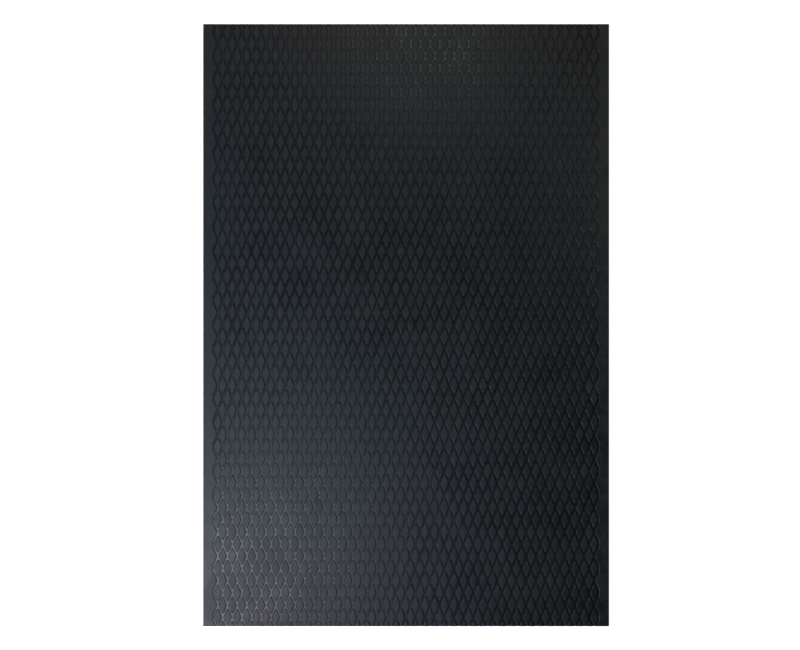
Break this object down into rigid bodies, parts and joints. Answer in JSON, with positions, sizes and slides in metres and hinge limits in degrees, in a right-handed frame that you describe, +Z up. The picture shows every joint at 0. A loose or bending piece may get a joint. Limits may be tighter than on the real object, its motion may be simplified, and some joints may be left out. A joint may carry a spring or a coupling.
{
  "type": "rubber stall mat",
  "caption": "Flat rectangular slab of black rubber with a diamond tread on top, plain borders along its long sides and a flat underside, laid on a floor edge to edge with others.",
  "frame": {"origin": "middle of the flat underside, on the floor", "axes": "+X across the mat, +Y along its length and +Z up, out of the tread"},
  "size_m": [1.219, 1.808, 0.019],
  "materials": {
    "rubber": "dull sheen, moulded"
  },
  "bodies": {
    "root": {"stall_mat": "rubber"}
  },
  "joints": []
}
